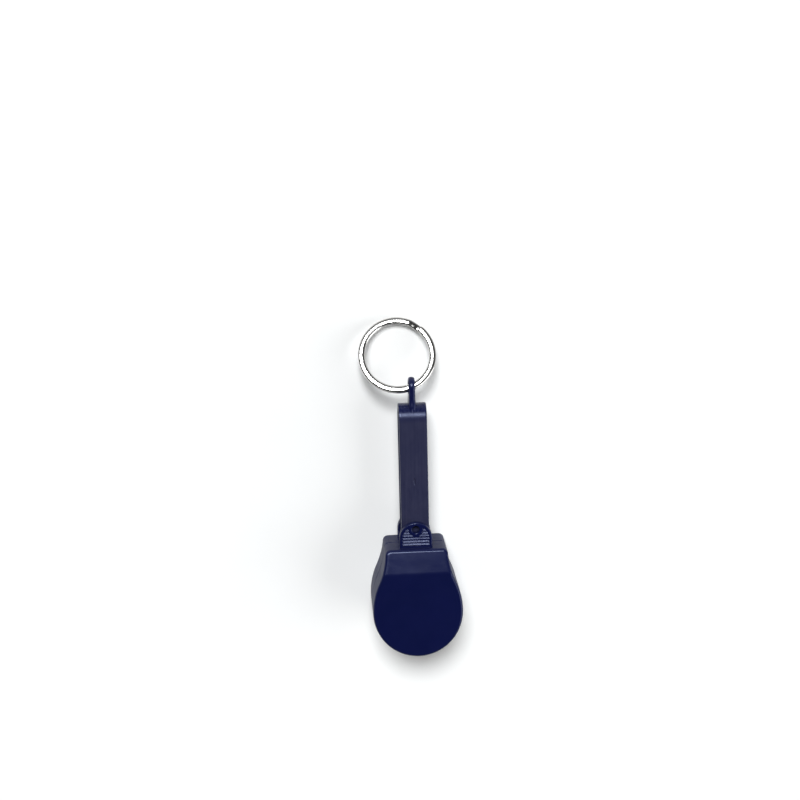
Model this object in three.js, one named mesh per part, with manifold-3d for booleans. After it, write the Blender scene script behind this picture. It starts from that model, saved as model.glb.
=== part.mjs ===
// A spectacle lens cleaner on a key ring: two sprung arms that end in round paddles, a soft microfibre
// pad on each paddle, and a case that covers the pads and slides along the arms to bare them.
//
// Millimetres. The cleaner lies on its back: +Z is up, +Y runs along the arms to the key ring, and the
// origin is at the centre of the round head, on the flat back of the case. The front and the back are
// alike, so each piece is drawn once, for the front, about the plane midway between the two arms.

import * as THREE from "three";
import { mergeVertices } from "three/addons/utils/BufferGeometryUtils.js";
import Module from "manifold-3d";

const wasm = await Module();
wasm.setup();

// ---------------------------------------------------------------- driving dimensions

// The case, seen from the front: a round head, shoulders and a neck.
const HEAD_HALF_WIDTH = 14.6;
const HEAD_DROP = 15.2; // from the head's centre to its round end
const SHOULDER_RADIUS = 23.9;
const NECK_HALF_WIDTH = 10.1;
const NECK_TOP = 20.6;
const NECK_CORNER = 1.8;

// The case's depth. Its faces slope inwards over the neck.
const CASE_HALF_DEPTH = 11;
const WALL = 1.3;
const SLOPE_START = 13;
const SLOPE_DROP = 2.2;
const SIDE_WALL_END = -4.5; // below this the case is open, so that the paddles can leave
const SEAM_GAP = 0.1;

// The pegs that join the two halves, in columns beside the arms.
const PEG_X = 7.5;
const PEG_Y = 18;
const PEG_RADIUS = 0.8;
const PEG_LENGTH = 2;
const PEG_PLAY = 0.2;
const COLUMN_RADIUS = 1.4;

// The thumb tab: an arch over the arm, with cross ribs, a boss and a hole.
const TAB_HALF_WIDTH = 5.3;
const TAB_TOP = 28.98;
const TAB_THICKNESS = 1.9;
const SKIRT_DEPTH = 1.45; // how far the tab's sides reach down beside the arm
const RIB_PITCH = 0.94;
const RIB_COUNT = 7;
const FIRST_GROOVE = 21.69;
const GROOVE_HALF_WIDTH = 0.35;
const GROOVE_DEPTH = 0.42;
const GROOVE_MARGIN = 0.85;
const BOSS_Y = 26.75;
const BOSS_RADIUS = 2.2;
const HOLE_RADIUS = 1.2;

// The arms and the bend that joins them.
const ARM_HALF_WIDTH = 4.5;
const ARM_THICKNESS = 1.7;
const BEND_RADIUS = 4.8; // outside, and so the distance of the arms' outer faces from the middle plane
const BEND_Y = 62.34;
const BEND_TO_ARM = 0.2;
const PADDLE_RADIUS = 12.3;
const PADDLE_Y = -2;
const PADDLE_TO_CASE = 0.35;
const TAPER_START = 19.2;
const STEP_START = 20.3; // the arm steps outwards to the paddle between these two
const STEP_END = 9.3;
const GUIDE_PLAY = 0.2; // between the arm's edges and the case
const FACE_PLAY = 0.35; // between the arm's face and the tab
const SOCKET_RADIUS = 2.6;
const SOCKET_DEPTH = 0.9;
const GATE_MARK = { y: 42.2, halfWidth: 0.4, halfLength: 1.3, depth: 0.3 };

// The eyelet on the bend.
const EYELET_Y = 72.3;
const EYELET_RADIUS = 3.3;
const EYELET_HOLE = 2.05;
const EYELET_THICKNESS = 2.1;

// A pad, from the paddle outwards: the cover's back, a disc, a foam core and the cover's face.
const PAD_Y = -2.2;
const PAD_RADIUS = 11.1;
const PAD_HEIGHT = 5.4;
const PAD_EDGE = 2.4;
const COVER_THICKNESS = 0.8;
const COVER_OPENING = 7;
const LAYER_GAP = 0.1;
const DISC_THICKNESS = 0.9;
const DISC_PEG_RADIUS = 2.2;
const DISC_PEG_LENGTH = 0.7;
const TIE_RADIUS = 0.3;

// The split ring: a flat wire wound twice.
const RING_OUTSIDE = 12.6;
const RING_WIRE_WIDTH = 2.2;
const RING_WIRE_THICKNESS = 0.98;
const RING_LAYER = 0.53; // each layer's distance from the ring's middle plane
const RING_SIDESTEP = 4.1; // how far the ring hangs to the left of the eyelet
const RING_STEPS = 80;
const RING_CROSSING = THREE.MathUtils.degToRad(60);
const RING_CROSSING_HALF = THREE.MathUtils.degToRad(11);

// Segments of a full round, by size.
const ROUND_LARGE = 32;
const ROUND_SMALL = 16;

// ---------------------------------------------------------------- places that follow from them

const ARM_OUTER = BEND_RADIUS;
const ARM_INNER = BEND_RADIUS - ARM_THICKNESS;
const ARM_TOP = BEND_Y - BEND_TO_ARM;
const PADDLE_OUTER = CASE_HALF_DEPTH - WALL - PADDLE_TO_CASE;
const PADDLE_INNER = PADDLE_OUTER - ARM_THICKNESS;
const GUIDE_HALF_WIDTH = ARM_HALF_WIDTH + GUIDE_PLAY;
const TAB_UNDER = ARM_OUTER + FACE_PLAY;
const TAB_FACE = TAB_UNDER + TAB_THICKNESS;
const DISC_RADIUS = PAD_RADIUS - COVER_THICKNESS - LAYER_GAP;
const FAR = 40; // beyond every face that a cutter has to pass

// ---------------------------------------------------------------- tools

const TO_SIDE_VIEW = new THREE.Matrix4().set(0, 0, 1, 0, 1, 0, 0, 0, 0, 1, 0, 0, 0, 0, 0, 1);

// A closed geometry as a manifold solid.
function solid(geometry) {
  const bare = geometry.clone();
  bare.deleteAttribute("normal");
  bare.deleteAttribute("uv");
  const merged = mergeVertices(bare, 1e-4);
  return new wasm.Manifold(
    new wasm.Mesh({
      numProp: 3,
      vertProperties: merged.attributes.position.array,
      triVerts: new Uint32Array(merged.index.array),
    }),
  );
}

// A manifold solid as a geometry.
function geometryOf(made) {
  const mesh = made.getMesh();
  const geometry = new THREE.BufferGeometry();
  geometry.setAttribute("position", new THREE.BufferAttribute(mesh.vertProperties, 3));
  geometry.setIndex(new THREE.BufferAttribute(mesh.triVerts, 1));
  geometry.computeVertexNormals();
  return geometry;
}

// An outline in the XY plane, extruded from one height to another.
function slab(shape, from, to) {
  const options = { depth: to - from, bevelEnabled: false, curveSegments: 12 };
  return solid(new THREE.ExtrudeGeometry(shape, options).translate(0, 0, from));
}

// An outline whose own x and y are the part's Y and Z, extruded across X to both sides.
function crosswise(shape, halfWidth) {
  const options = { depth: 2 * halfWidth, bevelEnabled: false, curveSegments: 10 };
  const geometry = new THREE.ExtrudeGeometry(shape, options).translate(0, 0, -halfWidth);
  return solid(geometry.applyMatrix4(TO_SIDE_VIEW));
}

function block(low, high) {
  const size = high.map((v, i) => v - low[i]);
  const middle = high.map((v, i) => (v + low[i]) / 2);
  return solid(new THREE.BoxGeometry(...size).translate(...middle));
}

// A round bar along Z.
function bar(x, y, radius, from, to, segments = ROUND_SMALL) {
  const geometry = new THREE.CylinderGeometry(radius, radius, to - from, segments);
  return solid(geometry.rotateX(Math.PI / 2).translate(x, y, (from + to) / 2));
}

// A shape that is alike on both sides, from the right side of its outline, drawn from the bottom up.
function mirrored(path, divisions) {
  const right = path.getPoints(divisions);
  const left = right.map((p) => new THREE.Vector2(-p.x, p.y)).reverse();
  const apart = (p, i, all) => i === 0 || p.distanceTo(all[i - 1]) > 1e-6;
  return new THREE.Shape([...right, ...left].filter(apart));
}

// A round solid about Z, from a profile of [radius, height] pairs. Height runs away from the paddle.
function turned(profile, y, z) {
  const points = profile.map(([r, h]) => new THREE.Vector2(r, h));
  return new THREE.LatheGeometry(points, ROUND_LARGE).rotateX(-Math.PI / 2).translate(0, y, z);
}

// ---------------------------------------------------------------- the case

// The side of the neck is a hollow arc, tangent to the shoulder's arc.
const shoulderCentreX = HEAD_HALF_WIDTH - SHOULDER_RADIUS;
const neckSpread = NECK_HALF_WIDTH - shoulderCentreX;
const neckRadius =
  (neckSpread ** 2 + NECK_TOP ** 2 - SHOULDER_RADIUS ** 2) / (2 * (SHOULDER_RADIUS - neckSpread));
const neckCentreX = NECK_HALF_WIDTH + neckRadius;
const shoulderAngle = Math.atan2(NECK_TOP, neckCentreX - shoulderCentreX);

// The case's outline, set in from its outside.
function caseOutline(inset) {
  const corner = Math.max(NECK_CORNER - inset, 0.4);
  const top = NECK_TOP - inset;
  const hollow = neckRadius + inset;
  const sideEnd = Math.PI + Math.asin((NECK_TOP - top + corner) / hollow);
  const sideX = neckCentreX + hollow * Math.cos(sideEnd);
  const path = new THREE.Path();
  path.absellipse(0, 0, HEAD_HALF_WIDTH - inset, HEAD_DROP - inset, -Math.PI / 2, 0, false);
  path.absarc(shoulderCentreX, 0, SHOULDER_RADIUS - inset, 0, shoulderAngle, false);
  path.absarc(neckCentreX, NECK_TOP, hollow, Math.PI + shoulderAngle, sideEnd, true);
  path.absarc(sideX - corner, top - corner, corner, 0, Math.PI / 2, false);
  return mirrored(path, 5);
}

// Everything above the sloping face of the neck, set in from the outside.
function aboveSlope(inset) {
  const high = CASE_HALF_DEPTH - inset;
  const steepness = SLOPE_DROP / (NECK_TOP - SLOPE_START);
  const end = NECK_TOP + 1;
  return crosswise(
    new THREE.Shape([
      new THREE.Vector2(SLOPE_START, high),
      new THREE.Vector2(end, high - steepness * (end - SLOPE_START)),
      new THREE.Vector2(end, FAR),
      new THREE.Vector2(SLOPE_START, FAR),
    ]),
    FAR,
  );
}

// The tab's outline: straight sides and a round top.
function tabOutline(inset, bottom) {
  const radius = TAB_HALF_WIDTH - inset;
  const path = new THREE.Path();
  path.moveTo(radius, bottom);
  path.lineTo(radius, TAB_TOP - TAB_HALF_WIDTH);
  path.absarc(0, TAB_TOP - TAB_HALF_WIDTH, radius, 0, Math.PI / 2, false);
  return mirrored(path, 5);
}

function tab() {
  const root = NECK_TOP - WALL / 2;
  let made = slab(tabOutline(0, root), TAB_UNDER - SKIRT_DEPTH, TAB_FACE);
  const field = slab(tabOutline(GROOVE_MARGIN, root), TAB_UNDER, FAR);
  const boss = bar(0, BOSS_Y, BOSS_RADIUS, 0, FAR, 24);
  for (let i = 0; i < RIB_COUNT; i++) {
    const y = FIRST_GROOVE + i * RIB_PITCH;
    const lip = TAB_FACE + 0.01;
    const groove = crosswise(
      new THREE.Shape([
        new THREE.Vector2(y - GROOVE_HALF_WIDTH, lip),
        new THREE.Vector2(y, TAB_FACE - GROOVE_DEPTH),
        new THREE.Vector2(y + GROOVE_HALF_WIDTH, lip),
      ]),
      TAB_HALF_WIDTH,
    );
    made = made.subtract(groove.intersect(field).subtract(boss));
  }
  return made.subtract(bar(0, BOSS_Y, HOLE_RADIUS, 0, FAR));
}

function caseHalf() {
  const inside = CASE_HALF_DEPTH - WALL;
  const hollow = slab(caseOutline(WALL), -1, inside)
    .subtract(aboveSlope(WALL))
    .subtract(bar(PEG_X, PEG_Y, COLUMN_RADIUS, -FAR, FAR))
    .subtract(bar(-PEG_X, PEG_Y, COLUMN_RADIUS, -FAR, FAR));
  const openEnd = block([-FAR, -FAR, -1], [FAR, SIDE_WALL_END, inside]);
  const armWay = block([-GUIDE_HALF_WIDTH, NECK_TOP - 2 * WALL, -1], [GUIDE_HALF_WIDTH, FAR, TAB_UNDER]);
  const seam = SEAM_GAP / 2;
  return slab(caseOutline(0), seam, CASE_HALF_DEPTH)
    .subtract(aboveSlope(0))
    .subtract(hollow)
    .subtract(openEnd)
    .add(tab())
    .subtract(armWay)
    .add(bar(PEG_X, PEG_Y, PEG_RADIUS, -PEG_LENGTH, 2 * seam))
    .subtract(bar(-PEG_X, PEG_Y, PEG_RADIUS + PEG_PLAY, -1, PEG_LENGTH + 2 * PEG_PLAY));
}

// ---------------------------------------------------------------- the arms

// The arm from the side: straight from the bend, then a double curve out to the paddle.
function armProfile() {
  const rise = PADDLE_OUTER - ARM_OUTER;
  const run = STEP_START - STEP_END;
  const radius = (run ** 2 + rise ** 2) / (4 * rise);
  const angle = 2 * Math.atan(rise / run);
  const first = ARM_OUTER + radius;
  const second = PADDLE_OUTER - radius;
  const quarter = Math.PI / 2;
  const shape = new THREE.Shape();
  shape.moveTo(ARM_TOP, ARM_OUTER);
  shape.lineTo(STEP_START, ARM_OUTER);
  shape.absarc(STEP_START, first, radius, -quarter, -quarter - angle, true);
  shape.absarc(STEP_END, second, radius, quarter - angle, quarter, false);
  shape.lineTo(-FAR, PADDLE_OUTER);
  shape.lineTo(-FAR, PADDLE_INNER);
  shape.absarc(STEP_END, second, radius - ARM_THICKNESS, quarter, quarter - angle, true);
  shape.absarc(STEP_START, first, radius + ARM_THICKNESS, -quarter - angle, -quarter, false);
  shape.lineTo(ARM_TOP, ARM_INNER);
  return shape;
}

// The arm from the front: a strip, a straight taper and a round paddle.
function armOutline() {
  const reach = Math.hypot(ARM_HALF_WIDTH, TAPER_START - PADDLE_Y);
  const taper = Math.asin(PADDLE_RADIUS / reach) - Math.atan(ARM_HALF_WIDTH / (TAPER_START - PADDLE_Y));
  const path = new THREE.Path();
  path.absarc(0, PADDLE_Y, PADDLE_RADIUS, -Math.PI / 2, taper, false);
  path.lineTo(ARM_HALF_WIDTH, TAPER_START);
  path.lineTo(ARM_HALF_WIDTH, ARM_TOP + 1);
  return mirrored(path, 10);
}

// The small oval mark on the face of each arm.
function gateMark() {
  const { y, halfWidth, halfLength, depth } = GATE_MARK;
  const shape = new THREE.Shape().absellipse(0, y, halfWidth, halfLength, 0, 2 * Math.PI, false);
  return slab(shape, ARM_OUTER - depth, FAR);
}

function arm() {
  return crosswise(armProfile(), PADDLE_RADIUS + 1)
    .intersect(slab(armOutline(), 0, FAR))
    .subtract(bar(0, PAD_Y, SOCKET_RADIUS, PADDLE_INNER - 1, PADDLE_INNER + SOCKET_DEPTH))
    .subtract(gateMark());
}

// The bend that the arms spring from, with the eyelet for the key ring.
function springBend() {
  const half = Math.PI / 2;
  const strip = new THREE.Shape();
  strip.absarc(BEND_Y, 0, BEND_RADIUS, -half, half, false);
  strip.absarc(BEND_Y, 0, ARM_INNER, half, -half, true);
  const plate = new THREE.Shape();
  plate.moveTo(BEND_Y, -EYELET_RADIUS);
  plate.lineTo(EYELET_Y, -EYELET_RADIUS);
  plate.absarc(EYELET_Y, 0, EYELET_RADIUS, -half, half, false);
  plate.lineTo(BEND_Y, EYELET_RADIUS);
  const middle = BEND_RADIUS - ARM_THICKNESS / 2;
  const inBend = new THREE.Shape().absarc(BEND_Y, 0, middle, 0, 2 * Math.PI, false);
  const hole = new THREE.Shape().absarc(EYELET_Y, 0, EYELET_HOLE, 0, 2 * Math.PI, false);
  return crosswise(plate, EYELET_THICKNESS / 2)
    .subtract(crosswise(inBend, FAR))
    .subtract(crosswise(hole, FAR))
    .add(crosswise(strip, ARM_HALF_WIDTH));
}

// ---------------------------------------------------------------- a pad

const coverBackTop = LAYER_GAP + COVER_THICKNESS;
const discBottom = coverBackTop + LAYER_GAP;
const foamBottom = discBottom + DISC_THICKNESS + LAYER_GAP;

// The rounded edge of a pad's face, from its side to near its middle.
function paddedEdge(radius, height, edge) {
  const turn = [0, 0.25, 0.5, 0.75, 1].map((t) => (t * Math.PI) / 2);
  return turn.map((a) => [radius - edge + edge * Math.cos(a), height - edge + edge * Math.sin(a)]);
}

// Microfibre drawn over the foam and gathered behind the disc.
function padCover() {
  const inner = PAD_RADIUS - COVER_THICKNESS;
  return turned(
    [
      [COVER_OPENING, LAYER_GAP],
      [PAD_RADIUS, LAYER_GAP],
      ...paddedEdge(PAD_RADIUS, PAD_HEIGHT, PAD_EDGE),
      [0, PAD_HEIGHT],
      [0, PAD_HEIGHT - COVER_THICKNESS],
      ...paddedEdge(inner, PAD_HEIGHT - COVER_THICKNESS, PAD_EDGE - COVER_THICKNESS).reverse(),
      [inner, coverBackTop],
      [COVER_OPENING, coverBackTop],
      [COVER_OPENING, LAYER_GAP],
    ],
    PAD_Y,
    PADDLE_INNER,
  );
}

function padFoam() {
  const top = PAD_HEIGHT - COVER_THICKNESS - LAYER_GAP;
  const edge = paddedEdge(DISC_RADIUS, top, PAD_EDGE - COVER_THICKNESS - LAYER_GAP);
  return turned([[0, foamBottom], [DISC_RADIUS, foamBottom], ...edge, [0, top]], PAD_Y, PADDLE_INNER);
}

// The stiff disc inside the pad, whose peg sits in the paddle's socket.
function padDisc() {
  const top = discBottom + DISC_THICKNESS;
  return turned(
    [
      [0, -DISC_PEG_LENGTH],
      [DISC_PEG_RADIUS, -DISC_PEG_LENGTH],
      [DISC_PEG_RADIUS, discBottom],
      [DISC_RADIUS, discBottom],
      [DISC_RADIUS, top],
      [0, top],
    ],
    PAD_Y,
    PADDLE_INNER,
  );
}

// The thread that gathers the cover.
function padTie() {
  const radius = COVER_OPENING - TIE_RADIUS - LAYER_GAP;
  const height = LAYER_GAP + COVER_THICKNESS / 2;
  const torus = new THREE.TorusGeometry(radius, TIE_RADIUS, 8, ROUND_LARGE);
  return torus.translate(0, PAD_Y, PADDLE_INNER - height);
}

// ---------------------------------------------------------------- the key ring

const ringMiddle = RING_OUTSIDE - RING_WIRE_WIDTH / 2;

// The wire's middle line: twice round, changing layer where the two ends meet.
class SplitRingCurve extends THREE.Curve {
  getPoint(t, target = new THREE.Vector3()) {
    const from = RING_CROSSING + RING_CROSSING_HALF;
    const to = RING_CROSSING + 4 * Math.PI - RING_CROSSING_HALF;
    const angle = from + t * (to - from);
    const past = (angle - RING_CROSSING - 2 * Math.PI) / (0.8 * RING_CROSSING_HALF);
    const share = THREE.MathUtils.smoothstep(past, -1, 1);
    const height = RING_LAYER * (2 * share - 1);
    return target.set(ringMiddle * Math.cos(angle), ringMiddle * Math.sin(angle), height);
  }
}

function keyRing() {
  const w = RING_WIRE_WIDTH / 2;
  const h = RING_WIRE_THICKNESS / 2;
  const chamfer = 0.2;
  const corners = [
    [h, w - chamfer],
    [h - chamfer, w],
    [chamfer - h, w],
    [-h, w - chamfer],
    [-h, chamfer - w],
    [chamfer - h, -w],
    [h - chamfer, -w],
    [h, chamfer - w],
  ];
  const section = new THREE.Shape(corners.map(([x, y]) => new THREE.Vector2(x, y)));
  return new THREE.ExtrudeGeometry(section, { steps: RING_STEPS, extrudePath: new SplitRingCurve() });
}

// How far the ring droops from the eyelet until its far side meets the surface below.
function ringDroop() {
  const reach = Math.sqrt(ringMiddle ** 2 - RING_SIDESTEP ** 2) + RING_OUTSIDE;
  const halfThickness = RING_LAYER + RING_WIRE_THICKNESS / 2;
  const drop = CASE_HALF_DEPTH - 0.02;
  return Math.asin(drop / Math.hypot(reach, halfThickness)) - Math.atan(halfThickness / reach);
}

// ---------------------------------------------------------------- materials

const plastic = (name, color, roughness) =>
  new THREE.MeshStandardMaterial({ name, color, roughness, metalness: 0 });
const navy = plastic("navy_plastic", 0x14183d, 0.45);
const discPlastic = plastic("white_plastic", 0xe6e4de, 0.5);
const foam = plastic("foam", 0xd9d2bf, 0.95);
const microfibre = plastic("microfibre", 0xf1ebdf, 1);
const thread = plastic("thread", 0xe9e2d2, 0.9);
const steel = new THREE.MeshStandardMaterial({
  name: "steel",
  color: 0xc9c9c6,
  roughness: 0.2,
  metalness: 1,
});

// ---------------------------------------------------------------- the assembly

function part(name, geometry, material) {
  const mesh = new THREE.Mesh(geometry, material);
  mesh.name = name;
  return mesh;
}

const cleaner = new THREE.Group();
cleaner.name = "lens_cleaner";
cleaner.position.z = CASE_HALF_DEPTH;
cleaner.add(part("spring_bend", geometryOf(springBend()), navy));

const armGeometry = geometryOf(arm());
const caseGeometry = geometryOf(caseHalf());
for (const side of ["front", "rear"]) {
  const group = new THREE.Group();
  group.rotation.y = side === "front" ? 0 : Math.PI;
  group.add(
    part(`${side}_arm`, armGeometry, navy),
    part(`${side}_pad_disc`, padDisc(), discPlastic),
    part(`${side}_pad_foam`, padFoam(), foam),
    part(`${side}_pad_cover`, padCover(), microfibre),
    part(`${side}_pad_tie`, padTie(), thread),
    part(`case_${side}_half`, caseGeometry, navy),
  );
  cleaner.add(group);
}

const ringSwing = new THREE.Group();
ringSwing.position.y = EYELET_Y;
ringSwing.rotation.x = -ringDroop();
const ring = part("key_ring", keyRing(), steel);
ring.position.set(-RING_SIDESTEP, Math.sqrt(ringMiddle ** 2 - RING_SIDESTEP ** 2), 0);
ringSwing.add(ring);
cleaner.add(ringSwing);

const whole = new THREE.Group();
whole.add(cleaner);
export default whole;
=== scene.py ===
"""The looks of a lens cleaner on a key ring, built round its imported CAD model.

Shapes are worked out in millimetres about the plane midway between the two arms, with +Y along the arms
to the key ring and +Z out of the front face. The back is the front turned over. Blender's objects are in
metres, in the CAD frame, whose origin lies on the flat back of the case.
"""

import math

import bmesh
import bpy
from mathutils import Matrix, Vector, noise


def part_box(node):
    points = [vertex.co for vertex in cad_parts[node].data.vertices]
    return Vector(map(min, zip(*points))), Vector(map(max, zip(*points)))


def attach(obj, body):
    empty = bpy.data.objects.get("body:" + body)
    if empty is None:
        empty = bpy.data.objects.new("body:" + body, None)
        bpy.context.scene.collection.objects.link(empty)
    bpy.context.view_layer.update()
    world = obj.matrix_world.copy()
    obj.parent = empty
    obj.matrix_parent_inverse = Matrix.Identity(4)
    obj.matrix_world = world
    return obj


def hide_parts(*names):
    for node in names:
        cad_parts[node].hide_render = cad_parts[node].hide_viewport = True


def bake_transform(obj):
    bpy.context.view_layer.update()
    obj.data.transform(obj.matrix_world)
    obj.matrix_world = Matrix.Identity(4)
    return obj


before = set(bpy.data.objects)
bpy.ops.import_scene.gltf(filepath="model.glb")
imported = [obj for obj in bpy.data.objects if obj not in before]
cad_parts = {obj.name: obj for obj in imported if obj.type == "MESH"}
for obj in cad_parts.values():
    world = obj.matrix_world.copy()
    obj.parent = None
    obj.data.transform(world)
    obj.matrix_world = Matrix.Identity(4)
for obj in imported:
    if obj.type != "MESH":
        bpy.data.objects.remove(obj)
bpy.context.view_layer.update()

# ---------------------------------------------------------------- driving dimensions, in millimetres

MM = 0.001
CASE_LOW, CASE_HIGH = (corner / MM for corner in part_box("case_front_half"))
CASE_HALF_DEPTH = CASE_HIGH.z / 2

# The case.
HEAD_HALF_WIDTH = CASE_HIGH.x
HEAD_DROP = -CASE_LOW.y
SHOULDER_RADIUS = 23.9
NECK_HALF_WIDTH = 10.1
NECK_TOP = 20.6
NECK_CORNER = 1.8
WALL = 1.3
SLOPE_START = 13
SLOPE_DROP = 2.2
CREASE_SOFTNESS = 0.3
SIDE_WALL_END = -4.5
SEAM_GAP = 0.1
CASE_EDGE = 0.85
PEG = Vector((7.5, 18))
PEG_RADIUS = 0.8
PEG_LENGTH = 2
PEG_PLAY = 0.2
COLUMN_RADIUS = 1.4

# The thumb tab.
TAB_HALF_WIDTH = 5.3
TAB_TOP = CASE_HIGH.y
TAB_THICKNESS = 1.9
SKIRT_DEPTH = 1.45
TAB_EDGE = 0.38
RIB_PITCH = 0.94
RIB_COUNT = 7
FIRST_GROOVE = 21.69
RIB_HEIGHT = 0.26
GROOVE_MARGIN = 0.85
BOSS_Y = 26.75
BOSS_RADIUS = 2.2
HOLE_RADIUS = 1.2

# The arms, the bend and the eyelet.
ARM_HALF_WIDTH = 4.5
ARM_THICKNESS = 1.7
ARM_EDGE = 0.3
BEND_RADIUS = 4.8
BEND_Y = 62.34
PADDLE_RADIUS = 12.3
PADDLE_Y = -2
PADDLE_TO_CASE = 0.35
PADDLE_DISH = 0.22
STEP_START = 20.3
STEP_END = 9.3
NECKING_ANGLE = math.radians(24)
NECKING_END = 19.6
GUIDE_PLAY = 0.2
FACE_PLAY = 0.35
SOCKET_RADIUS = 2.6
SOCKET_DEPTH = 0.9
GATE_MARK = {"y": 42.2, "half_width": 0.42, "half_length": 1.3, "depth": 0.3}
EYELET_Y = 72.3
EYELET_RADIUS = 3.3
EYELET_HOLE = 2.05
EYELET_THICKNESS = 2.1
FOOT_END = math.radians(26)
FOOT_HEIGHT = 0.45

# A pad, from the paddle outwards.
PAD_Y = -2.2
PAD_RADIUS = 11.1
PAD_HEIGHT = 5.4
PAD_EDGE = 2.4
COVER_THICKNESS = 0.8
COVER_OPENING = 7
LAYER_GAP = 0.1
DISC_THICKNESS = 0.9
DISC_PEG_RADIUS = 2.2
DISC_PEG_LENGTH = 0.7
TIE_RADIUS = 0.3

# The split ring.
RING_OUTSIDE = 12.6
RING_WIRE_WIDTH = 2.2
RING_WIRE_THICKNESS = 0.98
RING_LAYER = 0.53
WIRE_SQUARENESS = 2.4
RING_SIDESTEP = 4.1
RING_CROSSING = math.radians(60)
RING_CROSSING_HALF = math.radians(11)

ARM_OUTER = BEND_RADIUS
PADDLE_OUTER = CASE_HALF_DEPTH - WALL - PADDLE_TO_CASE
PADDLE_INNER = PADDLE_OUTER - ARM_THICKNESS
GUIDE_HALF_WIDTH = ARM_HALF_WIDTH + GUIDE_PLAY
TAB_UNDER = ARM_OUTER + FACE_PLAY
TAB_FACE = TAB_UNDER + TAB_THICKNESS
FAR = 40
WELD = 1e-6  # metres: booleans leave points closer than this, which are one point

# ---------------------------------------------------------------- mesh tools


def smoothstep(low, high, value):
    t = min(max((value - low) / (high - low), 0), 1)
    return t * t * (3 - 2 * t)


def to_frame(point):
    """A point in millimetres about the middle plane, in the CAD frame."""
    return Vector((point[0], point[1], point[2] + CASE_HALF_DEPTH)) * MM


def new_object(name, vertices, faces):
    """An object from a closed surface in millimetres, with its faces turned outwards."""
    mesh = bpy.data.meshes.new(name)
    mesh.from_pydata([to_frame(v) for v in vertices], [], faces)
    bm = bmesh.new()
    bm.from_mesh(mesh)
    bmesh.ops.remove_doubles(bm, verts=bm.verts, dist=1e-7)
    bmesh.ops.recalc_face_normals(bm, faces=bm.faces)
    bm.to_mesh(mesh)
    bm.free()
    obj = bpy.data.objects.new(name, mesh)
    bpy.context.scene.collection.objects.link(obj)
    return obj


def apply_modifiers(obj):
    """Leaves obj with the mesh that its modifiers make."""
    bpy.context.view_layer.update()
    evaluated = obj.evaluated_get(bpy.context.evaluated_depsgraph_get())
    mesh = bpy.data.meshes.new_from_object(evaluated)
    mesh.name = obj.data.name
    obj.modifiers.clear()
    obj.data = mesh


def boolean(obj, cutter, operation="DIFFERENCE"):
    """Joins cutter to obj, or cuts it away, and deletes it."""
    modifier = obj.modifiers.new("boolean", "BOOLEAN")
    modifier.operation = operation
    modifier.solver = "EXACT"
    modifier.object = cutter
    apply_modifiers(obj)
    bpy.data.objects.remove(cutter)


def shade(obj, angle=32):
    """Joins coincident points, and shades smoothly but for edges sharper than angle, in degrees."""
    bm = bmesh.new()
    bm.from_mesh(obj.data)
    bmesh.ops.remove_doubles(bm, verts=bm.verts, dist=WELD)
    bmesh.ops.dissolve_degenerate(bm, edges=bm.edges, dist=WELD)
    limit = math.radians(angle)
    for face in bm.faces:
        face.smooth = True
    for edge in bm.edges:
        edge.smooth = len(edge.link_faces) == 2 and edge.calc_face_angle(0) < limit
    bm.to_mesh(obj.data)
    bm.free()
    modifier = obj.modifiers.new("normals", "WEIGHTED_NORMAL")
    modifier.keep_sharp = True


def turn_over(obj):
    """Turns a front piece's mesh over, to make the one at the back."""
    about = Matrix.Translation((0, 0, CASE_HALF_DEPTH * MM))
    obj.data.transform(about @ Matrix.Rotation(math.pi, 4, "Y") @ about.inverted())


def copy_for_rear(obj, name):
    """A copy of a front piece, turned over."""
    other = obj.copy()
    other.name = name
    other.data = obj.data.copy()
    other.data.name = name
    bpy.context.scene.collection.objects.link(other)
    turn_over(other)
    return other


def block(low, high):
    """A plain box, for cutting."""
    corners = [(x, y, z) for x in (low[0], high[0]) for y in (low[1], high[1]) for z in (low[2], high[2])]
    faces = [(0, 1, 3, 2), (4, 6, 7, 5), (0, 4, 5, 1), (2, 3, 7, 6), (0, 2, 6, 4), (1, 5, 7, 3)]
    return new_object("block", corners, faces)


def turned(name, profile, centre, axis="Z", segments=96):
    """A solid of revolution. profile is (radius, height) pairs that start and end on the axis."""
    vertices, rings, faces = [], [], []
    for radius, height in profile:
        count = 1 if radius < 1e-6 else segments
        rings.append(range(len(vertices), len(vertices) + count))
        for i in range(count):
            a = 2 * math.pi * i / segments
            u, v = radius * math.cos(a), radius * math.sin(a)
            point = Vector((u, v, height)) if axis == "Z" else Vector((height, u, v))
            vertices.append(Vector(centre) + point)
    for low, high in zip(rings, rings[1:]):
        for i in range(segments):
            j = (i + 1) % segments
            ring = [low[i % len(low)], low[j % len(low)], high[j % len(high)], high[i % len(high)]]
            face = [v for n, v in enumerate(ring) if v not in ring[:n]]
            if len(face) > 2:
                faces.append(face)
    return new_object(name, vertices, faces)


def bar(x, y, radius, low, high, segments=40):
    return turned("bar", [(0, low), (radius, low), (radius, high), (0, high)], (x, y, 0), segments=segments)


def round_corner(radius, height, steps):
    """(inset, height) pairs round the edge of a face at height, from its side to the face."""
    angles = [math.pi / 2 * i / steps for i in range(steps + 1)]
    return [(radius * (1 - math.cos(a)), height - radius * (1 - math.sin(a))) for a in angles]


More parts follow.
